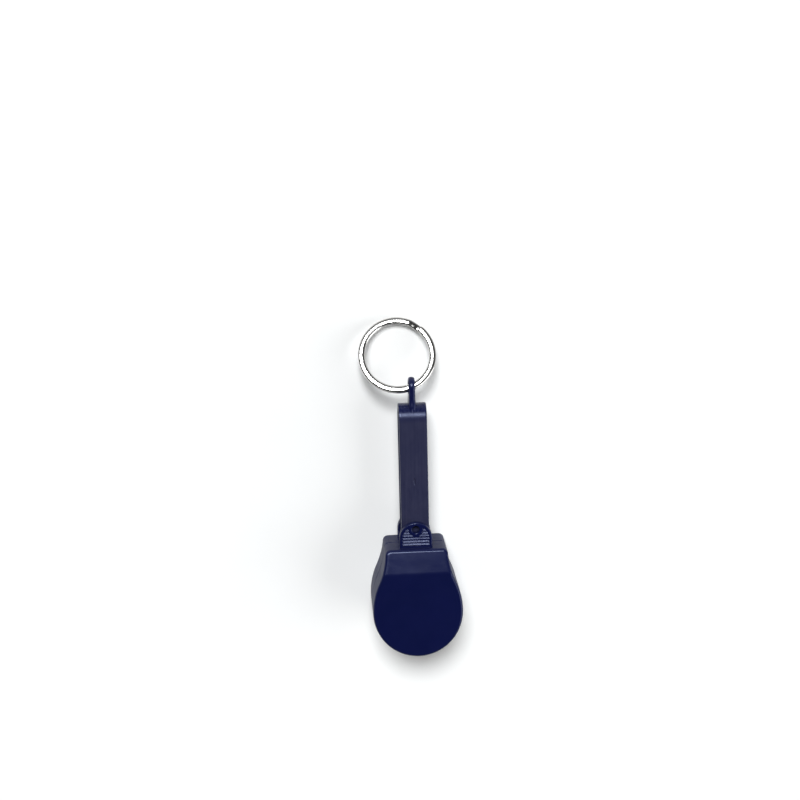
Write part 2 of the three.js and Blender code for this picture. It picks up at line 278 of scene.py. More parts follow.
def plate(name, half, columns, levels, place):
    """A closed solid that is alike on both sides, with an edge of any section.

    half is the right-hand side of its outline, from its round end, on the axis, to its square end. levels
    gives (inset, level) for each ring from the lower face out and round to the upper one, and
    place(x, y, level) puts a point of a ring or a face in the part.
    """
    count = len(half)
    normals = []
    for i in range(count):
        before, after = half[max(i - 1, 0)], half[min(i + 1, count - 1)]
        along = (after - before).normalized()
        normals.append(Vector((along.y, -along.x)))
    if sum(n.x for n in normals) < 0:
        normals = [-n for n in normals]
    normals[0] = Vector((0, math.copysign(1, normals[0].y)))
    end = normals[-1]
    normals[-1] = Vector((0, math.copysign(1, end.y))) if abs(end.y) > 0.7 else Vector((1, 0))

    vertices, faces = [], []

    def add(x, y, level):
        vertices.append(Vector(place(x, y, level)))
        return len(vertices) - 1

    rings = []
    for inset, level in levels:
        edge = [p - n * inset for p, n in zip(half, normals)]
        edge[0].x = 0
        right = [add(p.x, p.y, level) for p in edge]
        last = edge[-1]
        middle = [add(last.x * (1 - 2 * k / columns), last.y, level) for k in range(1, columns)]
        left = [right[0]] + [add(-p.x, p.y, level) for p in edge[1:]]
        rings.append((edge, right, middle, left, level))
    for low, high in zip(rings, rings[1:]):
        a = low[1] + low[2] + low[3][:0:-1]
        b = high[1] + high[2] + high[3][:0:-1]
        for i in range(len(a)):
            j = (i + 1) % len(a)
            faces.append((a[i], a[j], b[j], b[i]))
    for edge, right, middle, left, level in (rings[0], rings[-1]):
        row = [right[0]] * (columns + 1)
        for i in range(1, count):
            if i < count - 1:
                p = edge[i]
                inner = [add(p.x * (1 - 2 * k / columns), p.y, level) for k in range(1, columns)]
            else:
                inner = middle
            above = [right[i]] + inner + [left[i]]
            for k in range(columns):
                face = [row[k], row[k + 1], above[k + 1], above[k]]
                face = [v for n, v in enumerate(face) if v not in face[:n]]
                faces.append(face)
            row = above
    return new_object(name, vertices, faces)


def arc(centre_x, centre_y, radius, start, end, step):
    """Points along an arc, without its last one."""
    count = max(int(abs(end - start) * radius / step), 3)
    angles = [start + (end - start) * i / count for i in range(count)]
    return [Vector((centre_x + radius * math.cos(a), centre_y + radius * math.sin(a))) for a in angles]


def line(start, end, step):
    """Points along a straight line, without its last one."""
    start, end = Vector(start), Vector(end)
    count = max(int((end - start).length / step), 1)
    return [start.lerp(end, i / count) for i in range(count)]


# ---------------------------------------------------------------- the case

shoulder_x = HEAD_HALF_WIDTH - SHOULDER_RADIUS
neck_spread = NECK_HALF_WIDTH - shoulder_x
neck_radius = (neck_spread**2 + NECK_TOP**2 - SHOULDER_RADIUS**2) / (2 * (SHOULDER_RADIUS - neck_spread))
neck_x = NECK_HALF_WIDTH + neck_radius
shoulder_angle = math.atan2(NECK_TOP, neck_x - shoulder_x)


def case_outline(inset=0):
    """The right-hand side of the case's outline, from the round end to the middle of the neck's top."""
    corner = NECK_CORNER - inset
    top = NECK_TOP - inset
    hollow = neck_radius + inset
    side_end = math.pi + math.asin((NECK_TOP - top + corner) / hollow)
    side_x = neck_x + hollow * math.cos(side_end)
    count = 44
    points = []
    for i in range(count):
        a = math.pi / 2 * (i / count - 1)
        points.append(Vector(((HEAD_HALF_WIDTH - inset) * math.cos(a), (HEAD_DROP - inset) * math.sin(a))))
    points += arc(shoulder_x, 0, SHOULDER_RADIUS - inset, 0, shoulder_angle, 0.45)
    points += arc(neck_x, NECK_TOP, hollow, math.pi + shoulder_angle, side_end, 0.4)
    points += arc(side_x - corner, top - corner, corner, 0, math.pi / 2, 0.28)
    points.append(Vector((side_x - corner, top)))
    return points


def case_face(y):
    """The height of the case's face: level over the head, sloping down over the neck."""
    u = y - SLOPE_START
    c = CREASE_SOFTNESS
    run = 0 if u < -c else u if u > c else (u + c) ** 2 / (4 * c)
    return CASE_HALF_DEPTH - run * SLOPE_DROP / (NECK_TOP - SLOPE_START)


def on_case(x, y, level):
    """level is how much of the face's height to take, and what to add to it."""
    share, extra = level
    return x, y, share * case_face(y) + extra


def tab_outline():
    radius = TAB_HALF_WIDTH
    middle = TAB_TOP - radius
    return (
        arc(0, middle, radius, math.pi / 2, 0, 0.11)
        + line((radius, middle), (radius, NECK_TOP - WALL / 2), 0.11)
        + [Vector((radius, NECK_TOP - WALL / 2))]
    )


def tab_relief(x, y):
    """The ribs across the tab and the smooth boss round its hole, below its highest face.

    Each rib is steep towards the head, where a thumb pushes, and slopes gently away from it.
    """
    middle = TAB_TOP - TAB_HALF_WIDTH
    from_side = TAB_HALF_WIDTH - (math.hypot(x, y - middle) if y > middle else abs(x))
    field = smoothstep(GROOVE_MARGIN - 0.1, GROOVE_MARGIN + 0.25, from_side)
    field *= smoothstep(BOSS_RADIUS - 0.1, BOSS_RADIUS + 0.2, math.hypot(x, y - BOSS_Y))
    first = FIRST_GROOVE - RIB_PITCH / 2
    field *= smoothstep(first - 0.05, first + 0.05, y)
    field *= 1 - smoothstep(-0.05, 0.05, y - first - RIB_COUNT * RIB_PITCH)
    along = (y - first) / RIB_PITCH % 1
    rise, fall = smoothstep(0.2, 0.42, along), smoothstep(0.4, 1.02, along)
    return -RIB_HEIGHT * field * (1 - rise * (1 - fall))


def thumb_tab():
    under = TAB_UNDER - SKIRT_DEPTH

    def place(x, y, level):
        top = level > TAB_FACE - 1e-6
        return x, y, level + (tab_relief(x, y) if top else 0)

    levels = [(0.15, under), (0, under + 0.15)] + round_corner(TAB_EDGE, TAB_FACE, 5)
    tab = plate("tab", tab_outline(), 84, levels, place)
    lip = 0.28
    hole = [(0, 0), (HOLE_RADIUS, 0), (HOLE_RADIUS, TAB_FACE - lip)]
    hole += [
        (HOLE_RADIUS + lip * (1 - math.cos(a)), TAB_FACE - lip + lip * math.sin(a))
        for a in (0.3, 0.7, 1.1, 1.45)
    ]
    hole += [(HOLE_RADIUS + lip, FAR), (0, FAR)]
    boolean(tab, turned("hole", hole, (0, BOSS_Y, 0), segments=56))
    return tab


def case_half():
    seam = SEAM_GAP / 2
    chamfer = 0.14
    outline = case_outline()
    levels = [(chamfer, (0, seam)), (0, (0, seam + chamfer)), (0, (0, 3)), (0, (0, 6))]
    levels += [(inset, (1, drop)) for inset, drop in round_corner(CASE_EDGE, 0, 7)]
    half = plate("case_front", outline, 26, levels, on_case)
    inner_levels = [(0, (0, -2)), (0, (1, -WALL - 0.4)), (0.12, (1, -WALL - 0.12)), (0.4, (1, -WALL))]
    hollow = plate("hollow", case_outline(WALL), 14, inner_levels, on_case)
    for side in (-1, 1):
        boolean(hollow, bar(side * PEG.x, PEG.y, COLUMN_RADIUS, -FAR, FAR))
    boolean(half, hollow)
    inside = CASE_HALF_DEPTH - WALL
    boolean(half, block((-FAR, -FAR, -1), (FAR, SIDE_WALL_END, inside)))
    boolean(half, thumb_tab(), "UNION")
    arm_way = block((-GUIDE_HALF_WIDTH, NECK_TOP - 2 * WALL, -1), (GUIDE_HALF_WIDTH, FAR, TAB_UNDER))
    boolean(half, arm_way)
    boolean(half, bar(PEG.x, PEG.y, PEG_RADIUS, -PEG_LENGTH, 2 * seam), "UNION")
    boolean(half, bar(-PEG.x, PEG.y, PEG_RADIUS + PEG_PLAY, -1, PEG_LENGTH + 2 * PEG_PLAY))
    shade(half)
    return half


# ---------------------------------------------------------------- the arms

arm_middle = ARM_OUTER - ARM_THICKNESS / 2
bend_length = arm_middle * math.pi / 2
step_rise = PADDLE_OUTER - ARM_OUTER
step_run = STEP_START - STEP_END
step_radius = (step_run**2 + step_rise**2) / (4 * step_rise)


def arm_outline():
    """The arm's right-hand side, from the end of the paddle to the middle of the bend."""
    radius = PADDLE_RADIUS
    points = arc(0, PADDLE_Y, radius, -math.pi / 2, NECKING_ANGLE, 0.4)
    start = Vector((radius * math.cos(NECKING_ANGLE), PADDLE_Y + radius * math.sin(NECKING_ANGLE)))
    run = NECKING_END - start.y
    slope = -math.tan(NECKING_ANGLE) * run
    count = 48
    for i in range(count):
        u = i / count
        width = (2 * u**3 - 3 * u**2 + 1) * start.x + (u**3 - 2 * u**2 + u) * slope
        width += (3 * u**2 - 2 * u**3) * ARM_HALF_WIDTH
        points.append(Vector((width, start.y + u * run)))
    end = BEND_Y + bend_length
    points += line((ARM_HALF_WIDTH, NECKING_END), (ARM_HALF_WIDTH, BEND_Y), 0.7)
    points += line((ARM_HALF_WIDTH, BEND_Y), (ARM_HALF_WIDTH, end), 0.3)
    points.append(Vector((ARM_HALF_WIDTH, end)))
    return points


def arm_course(y):
    """The arm's middle surface at y, seen from the side, and the direction out of its front."""
    if y > BEND_Y:
        a = (y - BEND_Y) / arm_middle
        return BEND_Y + arm_middle * math.sin(a), arm_middle * math.cos(a), math.sin(a), math.cos(a)
    u = (STEP_START - y) / step_run
    if u <= 0:
        return y, arm_middle, 0, 1
    if u >= 1:
        return y, arm_middle + step_rise, 0, 1
    first = u < 0.5
    along = (u if first else 1 - u) * step_run
    a = math.asin(along / step_radius)
    rise = step_radius * (1 - math.cos(a))
    return y, arm_middle + (rise if first else step_rise - rise), math.sin(a), math.cos(a)


def on_arm(x, y, level):
    """level is the distance from the arm's middle surface."""
    from_centre = math.hypot(x, y - PADDLE_Y)
    if level > ARM_THICKNESS / 2 - 1e-6:
        level -= PADDLE_DISH * (1 - smoothstep(PADDLE_RADIUS - 2.6, PADDLE_RADIUS - 1.1, from_centre))
    along, height, out_y, out_z = arm_course(y)
    return x, along + out_y * level, height + out_z * level


def gate_mark():
    """The small oval left where the plastic entered the mould."""
    depth = GATE_MARK["depth"]
    profile = [(math.sin(a), -math.cos(a)) for a in (i * math.pi / 8 for i in range(9))]
    mark = turned("mark", profile, (0, 0, 0), segments=28)
    size = Matrix.Diagonal((GATE_MARK["half_width"], GATE_MARK["half_length"], depth, 1))
    place = Matrix.Translation(to_frame((0, GATE_MARK["y"], ARM_OUTER + 0.02)))
    mark.data.transform(place @ size @ Matrix.Translation((0, 0, -CASE_HALF_DEPTH * MM)))
    return mark


def arm():
    half = ARM_THICKNESS / 2
    levels = [(inset, -level) for inset, level in reversed(round_corner(0.2, half, 4))]
    levels += round_corner(ARM_EDGE, half, 5)
    piece = plate("front_spring_arm", arm_outline(), 16, levels, on_arm)
    boolean(piece, bar(0, PAD_Y, SOCKET_RADIUS, PADDLE_INNER - 1, PADDLE_INNER + SOCKET_DEPTH, segments=42))
    boolean(piece, gate_mark())
    shade(piece)
    return piece


def eyelet():
    """The eye on the bend, in line with the arms, with well rounded edges and a spreading foot."""
    thick = EYELET_THICKNESS / 2
    top = EYELET_Y + EYELET_RADIUS
    foot = 64.6
    waist = EYELET_Y - 3.2

    def place(u, v, level):
        spread = 1 - smoothstep(foot + 1.4, waist + 0.9, v)
        if v < waist:
            sink = (waist - v) / (waist - foot)
            inside = BEND_Y + math.sqrt(max(arm_middle**2 - u * u, 0))
            v = waist + (inside - waist) * sink
        return level * (1 + 0.14 * spread**2), v, u * (1 + 0.12 * spread**2)

    half = arc(0, EYELET_Y, EYELET_RADIUS, math.pi / 2, 0, 0.2)
    half += line((EYELET_RADIUS, EYELET_Y), (EYELET_RADIUS, foot), 0.25) + [Vector((EYELET_RADIUS, foot))]
    edge = 0.8
    levels = [(inset, -level) for inset, level in reversed(round_corner(edge, thick, 6))]
    levels += round_corner(edge, thick, 6)
    piece = plate("ring_eyelet", half, 16, levels, place)
    lip = 0.7
    rim = [(EYELET_HOLE + lip * (1 - math.cos(a)), thick - lip + lip * math.sin(a)) for a in
           (0, 0.25, 0.5, 0.75, 1.0, 1.25, 1.5)]
    rim += [(EYELET_HOLE + lip, thick + 2)]
    profile = [(0, -thick - 2)] + [(r, -h) for r, h in reversed(rim)] + rim + [(0, thick + 2)]
    boolean(piece, turned("hole", profile, (0, EYELET_Y, 0), axis="X", segments=64))
    boolean(piece, eyelet_foot(), "UNION")
    shade(piece, 40)
    return piece


def eyelet_foot():
    """The ridge that the eyelet stands on: it lies over the bend and narrows to a point at each end."""
    steps, sides = 48, 20
    reach = math.pi / 2 - FOOT_END
    vertices, faces = [], []
    for i in range(steps + 1):
        a = FOOT_END + 2 * reach * i / steps
        from_point = 1 - abs(a - math.pi / 2) / reach
        half_width = EYELET_THICKNESS / 2 * 1.1 * min(0.02 + from_point / 0.72, 1)
        height = FOOT_HEIGHT * min(0.05 + from_point / 0.6, 1)
        for k in range(sides):
            b = 2 * math.pi * (k + 0.5) / sides
            out = BEND_RADIUS + (height if math.sin(b) > 0 else FOOT_HEIGHT) * math.sin(b)
            vertices.append((half_width * math.cos(b), BEND_Y + out * math.sin(a), out * math.cos(a)))
    for i in range(steps):
        for k in range(sides):
            m = (k + 1) % sides
            faces.append((i * sides + k, (i + 1) * sides + k, (i + 1) * sides + m, i * sides + m))
    faces.append(tuple(range(sides)))
    faces.append(tuple(range(steps * sides, (steps + 1) * sides)))
    return new_object("foot", vertices, faces)


# ---------------------------------------------------------------- the pads

cover_back = LAYER_GAP + COVER_THICKNESS
disc_bottom = cover_back + LAYER_GAP
foam_bottom = disc_bottom + DISC_THICKNESS + LAYER_GAP
disc_radius = PAD_RADIUS - COVER_THICKNESS - LAYER_GAP

CLOTH_SCALE = 20  # the cover is simulated this many times larger, at the size of a cushion
CLOTH_VOXEL = 0.36
CLOTH_PRESSURE = 4
CLOTH_FRAMES = 20
CLOTH_CAP = 0.45
COVER_RISE = 0.42  # the cover starts this much lower than the pad, and pressure lifts it
COVER_GROWTH = 0.22  # it also starts this much smaller in radius
LINING_RADIUS = PAD_RADIUS - COVER_THICKNESS
LINING_HEIGHT = PAD_HEIGHT - COVER_THICKNESS - 0.2
GATHERS = 34
SEAM_HEIGHT = 2.15
SEAM_WIDTH = 0.36
SEAM_DEPTH = 0.3
GATHER_DEPTH = 0.08
UNEVENNESS = 0.07
NAP = 0.02


def on_pad(radius, height):
    """A pad's profile runs away from the paddle, down towards the middle plane."""
    return radius, PADDLE_INNER - height


def pad_edge(radius, height, edge, steps=8):
    angles = [math.pi / 2 * i / steps for i in range(steps + 1)]
    return [(radius - edge + edge * math.cos(a), height - edge + edge * math.sin(a)) for a in angles]


def pad_point(vertex):
    """A vertex of the front pad as its place across the pad, in mm, and its height above the paddle."""
    centre = to_frame((0, PAD_Y, PADDLE_INNER))
    across = Vector((vertex.co.x - centre.x, vertex.co.y - centre.y)) / MM
    return across, (centre.z - vertex.co.z) / MM


def is_lining(vertex):
    """Whether a vertex of the cover is on its hidden inner side."""
    across, height = pad_point(vertex)
    return across.length < LINING_RADIUS + 0.2 and cover_back < height < LINING_HEIGHT + 0.2


def inflate(obj):
    """Blows the cover up like a small cushion, and keeps every point near where it began."""
    held = obj.vertex_groups.new(name="held")
    kept = [v.index for v in obj.data.vertices if is_lining(v) or pad_point(v)[1] < LAYER_GAP + 0.3]
    held.add(kept, 1.0, "REPLACE")
    pad_middle = to_frame((0, PAD_Y, PADDLE_INNER - PAD_HEIGHT / 2))
    enlarge = Matrix.Scale(CLOTH_SCALE, 4) @ Matrix.Translation(-pad_middle)
    obj.data.transform(enlarge)
    start = [v.co.copy() for v in obj.data.vertices]
    cloth = obj.modifiers.new("cloth", "CLOTH")
    cloth.settings.quality = 6
    cloth.settings.mass = 0.25
    cloth.settings.use_pressure = True
    cloth.settings.uniform_pressure_force = CLOTH_PRESSURE
    cloth.settings.tension_stiffness = 12
    cloth.settings.compression_stiffness = 12
    cloth.settings.shear_stiffness = 4
    cloth.settings.bending_stiffness = 0.4
    cloth.settings.effector_weights.gravity = 0
    cloth.collision_settings.use_collision = False
    cloth.collision_settings.use_self_collision = False
    cloth.settings.vertex_group_mass = held.name
    scene = bpy.context.scene
    cloth.point_cache.frame_start = 1
    cloth.point_cache.frame_end = CLOTH_FRAMES
    for number in range(1, CLOTH_FRAMES + 1):
        scene.frame_set(number)
        bpy.context.view_layer.update()
    apply_modifiers(obj)
    scene.frame_set(1)
    cap = CLOTH_CAP * MM * CLOTH_SCALE
    for vertex, before in zip(obj.data.vertices, start):
        moved = vertex.co - before
        if moved.length > cap:
            vertex.co = before + moved * (cap / moved.length)
    obj.vertex_groups.clear()
    obj.data.transform(enlarge.inverted())


def remesh(obj, size):
    modifier = obj.modifiers.new("remesh", "REMESH")
    modifier.mode = "VOXEL"
    modifier.voxel_size = size * MM
    apply_modifiers(obj)


def pad_cover():
    """Knitted microfibre drawn over the foam, sewn round its side and gathered behind."""
    radius, height = PAD_RADIUS - COVER_GROWTH, PAD_HEIGHT - COVER_RISE
    behind = cover_back + 0.1
    profile = [(COVER_OPENING, LAYER_GAP + 0.3), (COVER_OPENING + 0.3, LAYER_GAP)]
    profile += [(radius - 0.6, LAYER_GAP), (radius - 0.15, LAYER_GAP + 0.35)]
    profile += pad_edge(radius, height, PAD_EDGE) + [(6, height + 0.12), (0, height + 0.18)]
    profile += [(0, LINING_HEIGHT)]
    profile += pad_edge(LINING_RADIUS, LINING_HEIGHT, PAD_EDGE - COVER_THICKNESS)[::-1]
    profile += [(LINING_RADIUS, behind), (COVER_OPENING + 0.3, behind), (COVER_OPENING, behind - 0.4)]
    profile += profile[:1]
    cover = turned("front_pad_fabric", [on_pad(r, h) for r, h in profile], (0, PAD_Y, 0), segments=120)
    remesh(cover, CLOTH_VOXEL)
    inflate(cover)
    modifier = cover.modifiers.new("subdivision", "SUBSURF")
    modifier.levels = 1
    modifier.render_levels = 1
    apply_modifiers(cover)
    for vertex in cover.data.vertices:
        if is_lining(vertex):
            continue
        across, height = pad_point(vertex)
        radius = across.length
        angle = math.atan2(across.y, across.x)
        wobble = noise.noise(Vector((math.cos(angle), math.sin(angle), height * 0.25)) * 2.4)
        on_side = smoothstep(LINING_RADIUS - 0.4, LINING_RADIUS + 0.6, radius)
        seam = math.exp(-(((height - SEAM_HEIGHT - 0.12 * wobble) / SEAM_WIDTH) ** 2))
        gather = math.cos(GATHERS * angle + 3 * wobble) * (1 - smoothstep(0.3, SEAM_HEIGHT, height))
        out = on_side * (-SEAM_DEPTH * seam + GATHER_DEPTH * gather + UNEVENNESS * wobble)
        nap = NAP * noise.noise(vertex.co / MM * 1.7)
        outward = across * (out + nap) / max(radius, 1) * MM
        vertex.co.x += outward.x
        vertex.co.y += outward.y
        vertex.co.z -= 0.05 * wobble * smoothstep(3, 9, radius) * smoothstep(4, 5, height) * MM
    shade(cover, 80)
    return cover


def pad_foam():
    top = LINING_HEIGHT - LAYER_GAP
    edge = PAD_EDGE - 0.9
    profile = [(0, foam_bottom), (disc_radius - 0.3, foam_bottom), (disc_radius, foam_bottom + 0.3)]
    profile += pad_edge(disc_radius, top, edge) + [(disc_radius * 0.5, top), (0, top)]
    foam = turned("front_pad_core", [on_pad(r, h) for r, h in profile], (0, PAD_Y, 0), segments=72)
    remesh(foam, 0.5)
    for vertex in foam.data.vertices:
        depth = 0.05 * (noise.noise(vertex.co / MM * 1.3) - 1)
        vertex.co += vertex.normal * depth * MM
    shade(foam, 80)
    return foam


def pad_disc():
    top = disc_bottom + DISC_THICKNESS
    chamfer = 0.15
    peg, end = DISC_PEG_RADIUS, -DISC_PEG_LENGTH
    profile = [(0, end), (peg - chamfer, end), (peg, end + chamfer)]
    profile += [(peg, disc_bottom - chamfer), (peg + chamfer, disc_bottom)]
    profile += [(disc_radius - chamfer, disc_bottom), (disc_radius, disc_bottom + chamfer)]
    profile += [(disc_radius, top - chamfer), (disc_radius - chamfer, top), (0, top)]
    disc = turned("front_pad_carrier", [on_pad(r, h) for r, h in profile], (0, PAD_Y, 0))
    shade(disc)
    return disc


def pad_tie():
    """A two-ply thread round the mouth of the cover."""
    radius = COVER_OPENING - TIE_RADIUS - LAYER_GAP
    height = LAYER_GAP + COVER_THICKNESS / 2
    ply, turns, steps, sides = TIE_RADIUS / 2, 60, 480, 8
    thin = 0.96 * ply  # so that the two plies don't share points
    vertices, faces = [], []
    for strand in (0, math.pi):
        first = len(vertices)
        for i in range(steps):
            a = 2 * math.pi * i / steps
            twist = turns * a + strand
            r, z = radius + ply * math.cos(twist), height + ply * math.sin(twist)
            for k in range(sides):
                b = 2 * math.pi * k / sides
                rr, zz = on_pad(r + thin * math.cos(b), z + thin * math.sin(b))
                vertices.append((rr * math.cos(a), PAD_Y + rr * math.sin(a), zz))
        for i in range(steps):
            for k in range(sides):
                here, there = first + i * sides, first + (i + 1) % steps * sides
                m = (k + 1) % sides
                faces.append((here + k, there + k, there + m, here + m))
    tie = new_object("front_pad_thread", vertices, faces)
    shade(tie, 80)
    return tie


# ---------------------------------------------------------------- the key ring


def key_ring():
    """Flat spring wire wound twice, changing layer between its two ends, drooping from the eyelet."""
    middle = RING_OUTSIDE - RING_WIRE_WIDTH / 2
    reach_y = math.sqrt(middle**2 - RING_SIDESTEP**2)
    reach = reach_y + RING_OUTSIDE
    thick = RING_LAYER + RING_WIRE_THICKNESS / 2
    droop = math.asin((CASE_HALF_DEPTH - 0.02) / math.hypot(reach, thick)) - math.atan(thick / reach)
    start = RING_CROSSING + RING_CROSSING_HALF
    end = RING_CROSSING + 4 * math.pi - RING_CROSSING_HALF
    steps, sides = 420, 32
    section = []
    for k in range(sides):
        a = 2 * math.pi * (k + 0.5) / sides
        around = (math.cos(a), math.sin(a))
        width, height = (math.copysign(abs(c) ** (2 / WIRE_SQUARENESS), c) for c in around)
        section.append((RING_WIRE_WIDTH / 2 * width, RING_WIRE_THICKNESS / 2 * height))
    vertices, faces = [], []
    for i in range(steps + 1):
        t = i / steps
        a = start + t * (end - start)
        past = (a - RING_CROSSING - 2 * math.pi) / (0.8 * RING_CROSSING_HALF)
        layer = RING_LAYER * (2 * smoothstep(-1, 1, past) - 1)
        from_end = min(t, 1 - t) * (end - start) * middle
        taper = math.sqrt(1 - (1 - min(from_end / 0.35, 1)) ** 2) * 0.25 + 0.75
        for r, z in section:
            radius = middle + r * taper
            point = Vector((radius * math.cos(a), radius * math.sin(a) + reach_y, layer + z * taper))
            point.x -= RING_SIDESTEP
            y = point.y * math.cos(droop) + point.z * math.sin(droop)
            z2 = -point.y * math.sin(droop) + point.z * math.cos(droop)
            vertices.append((point.x, EYELET_Y + y, z2))
    size = len(section)
    for i in range(steps):
        for k in range(size):
            m = (k + 1) % size
            faces.append((i * size + k, (i + 1) * size + k, (i + 1) * size + m, i * size + m))
    faces.append(tuple(range(size)))
    faces.append(tuple(range(steps * size, (steps + 1) * size)))
    ring = new_object("split_ring", vertices, faces)
    shade(ring, 50)
    return ring


# ---------------------------------------------------------------- materials


class Shader:
    """A material's nodes, with short ways to add and join them."""

    def __init__(self, name, colour, roughness, metallic=0.0):
        self.material = bpy.data.materials.new(name)
        self.material.use_nodes = True
        self.nodes = self.material.node_tree.nodes
        self.links = self.material.node_tree.links
        self.bsdf = self.nodes["Principled BSDF"]
        self.bsdf.inputs["Base Color"].default_value = (*colour, 1)
        self.bsdf.inputs["Roughness"].default_value = roughness
        self.bsdf.inputs["Metallic"].default_value = metallic
        self.place = self.add("ShaderNodeTexCoord").outputs["Object"]

    def add(self, kind, **inputs):
        node = self.nodes.new(kind)
        for name, value in inputs.items():
            socket = node.inputs[name.replace("_", " ").title()]
            if hasattr(value, "is_output"):
                self.links.new(value, socket)
            else:
                socket.default_value = value
        return node

    def scaled(self, size):
        """The position, stretched so that a pattern has this size in millimetres along each axis."""
        node = self.add("ShaderNodeMapping")
        node.inputs["Scale"].default_value = [1 / (s * MM) for s in size]
        self.links.new(self.place, node.inputs["Vector"])
        return node.outputs["Vector"]

    def noise(self, size, detail=3.0, roughness=0.55):
        node = self.add("ShaderNodeTexNoise", scale=1.0, detail=detail, roughness=roughness)
        self.links.new(self.scaled(size), node.inputs["Vector"])
        return node.outputs["Fac"]

    def cells(self, size):
        node = self.add("ShaderNodeTexVoronoi", scale=1.0)
        self.links.new(self.scaled(size), node.inputs["Vector"])
        return node.outputs["Distance"]

    def rows(self, axis, pitch):
        """Rounded rows across an axis, this far apart in millimetres, a little uneven."""
        node = self.add("ShaderNodeTexWave", distortion=1.6, detail=2.0, detail_scale=0.6)
        node.bands_direction = axis
        node.inputs["Scale"].default_value = math.pi / 10
        self.links.new(self.scaled((pitch, pitch, pitch)), node.inputs["Vector"])
        return node.outputs["Fac"]

    def along(self, axis):
        """The position along one axis, in metres."""
        node = self.nodes.new("ShaderNodeSeparateXYZ")
        self.links.new(self.place, node.inputs["Vector"])
        return node.outputs[axis]

    def facing(self, axis):
        """1 where the surface faces either way along an axis, and 0 where it runs along it."""
        node = self.nodes.new("ShaderNodeSeparateXYZ")
        self.links.new(self.nodes["Texture Coordinate"].outputs["Normal"], node.inputs["Vector"])
        return self.math("ABSOLUTE", node.outputs[axis], 0.0)

    def spread(self, value, low, high, start=0.3, end=0.7):
        """A number from low to high as value goes from start to end."""
        node = self.nodes.new("ShaderNodeMapRange")
        for name, number in (("From Min", start), ("From Max", end), ("To Min", low), ("To Max", high)):
            node.inputs[name].default_value = number
        self.links.new(value, node.inputs["Value"])
        return node.outputs["Result"]

    def colours(self, value, *stops):
        """A colour ramp through (position, colour) stops."""
        node = self.nodes.new("ShaderNodeValToRGB")
        ramp = node.color_ramp
        while len(ramp.elements) < len(stops):
            ramp.elements.new(0.5)
        for element, (position, colour) in zip(ramp.elements, stops):
            element.position = position
            element.color = (*colour, 1)
        self.links.new(value, node.inputs["Fac"])
        return node.outputs["Color"]

    def mix(self, factor, a, b, blend="MIX"):
        node = self.nodes.new("ShaderNodeMix")
        node.data_type = "RGBA"
        node.blend_type = blend
        sockets = [s for s in node.inputs if s.enabled]
        for socket, value in zip(sockets, (factor, a, b)):
            if hasattr(value, "is_output"):
                self.links.new(value, socket)
            else:
                socket.default_value = value if isinstance(value, float) else (*value, 1)
        return next(s for s in node.outputs if s.enabled)

    def math(self, operation, a, b):
        node = self.nodes.new("ShaderNodeMath")
        node.operation = operation
        for socket, value in zip(node.inputs, (a, b)):
            if hasattr(value, "is_output"):
                self.links.new(value, socket)
            else:
                socket.default_value = value
        return node.outputs["Value"]

    def bump(self, height, distance, strength=1.0, after=None):
        node = self.nodes.new("ShaderNodeBump")
        node.inputs["Strength"].default_value = strength
        node.inputs["Distance"].default_value = distance * MM
        self.links.new(height, node.inputs["Height"])
        if after is not None:
            self.links.new(after, node.inputs["Normal"])
        return node.outputs["Normal"]

    def set(self, name, value):
        socket = self.bsdf.inputs[name]
        if hasattr(value, "is_output"):
            self.links.new(value, socket)
        else:
            socket.default_value = value


NAVY_GLINT = (0.62, 0.7, 1.0, 1.0)  # the plastic's highlights are a little blue


def moulded_case():
    """Satin navy plastic: a fine spark-eroded skin, duller on its side walls, with faint flow clouds."""
    s = Shader("case_plastic", (0.0032, 0.005, 0.038), 0.22)
    clouds = s.noise((9, 14, 9), 4.0)
    s.set("Base Color", s.colours(clouds, (0.3, (0.0027, 0.0046, 0.035)), (0.7, (0.0037, 0.0056, 0.041))))
    rubbed = s.spread(s.noise((5, 3, 5), 5.0, 0.65), 0.0, 0.08)
    s.set("Roughness", s.math("ADD", rubbed, s.spread(s.facing("Z"), 0.48, 0.19, 0.3, 0.8)))
    skin = s.bump(s.noise((0.16, 0.16, 0.16), 2.0), 0.012, 0.5)
    s.set("Normal", s.bump(s.noise((2.6, 2.6, 2.6), 2.0), 0.008, 0.3, skin))
    s.set("Specular IOR Level", 0.32)
    s.set("Specular Tint", NAVY_GLINT)
    return s.material


def moulded_arm():
    """The same plastic off a coarser tool: grained and streaked, its straight arms painted greyer for sheen
    and its bend painted darker for shade.
    """
    s = Shader("arm_plastic", (0.012, 0.013, 0.04), 0.45)
    streaks = s.noise((0.6, 17, 0.6), 4.0, 0.6)
    clouds = s.noise((4, 7, 4), 4.0)
    # painted light: the straight arms get a greyer navy standing in for sheen, and the bend a darker navy
    # standing in for shade
    painted_sheen_colour = s.colours(streaks, (0.3, (0.0175, 0.0182, 0.044)), (0.7, (0.025, 0.0258, 0.055)))
    painted_shade_colour = s.colours(streaks, (0.32, (0.003, 0.0045, 0.034)), (0.72, (0.005, 0.007, 0.043)))
    on_bend = s.spread(s.along("Y"), 0.0, 1.0, (BEND_Y - 1) * MM, (BEND_Y + 2.5) * MM)
    base = s.mix(on_bend, painted_sheen_colour, painted_shade_colour)
    tint = s.colours(clouds, (0.3, (0.78, 0.8, 0.9)), (0.7, (1.0, 1.0, 1.0)))
    s.set("Base Color", s.mix(1.0, base, tint, "MULTIPLY"))
    dull = s.spread(s.noise((0.8, 2.4, 0.8), 5.0, 0.7), 0.3, 0.48)
    s.set("Roughness", s.math("SUBTRACT", dull, s.math("MULTIPLY", on_bend, 0.12)))
    grain = s.bump(s.noise((0.3, 0.45, 0.3), 3.0, 0.65), 0.045, 0.65)
    s.set("Normal", s.bump(streaks, 0.012, 0.3, grain))
    s.set("Specular IOR Level", 0.34)
    s.set("Specular Tint", NAVY_GLINT)
    return s.material


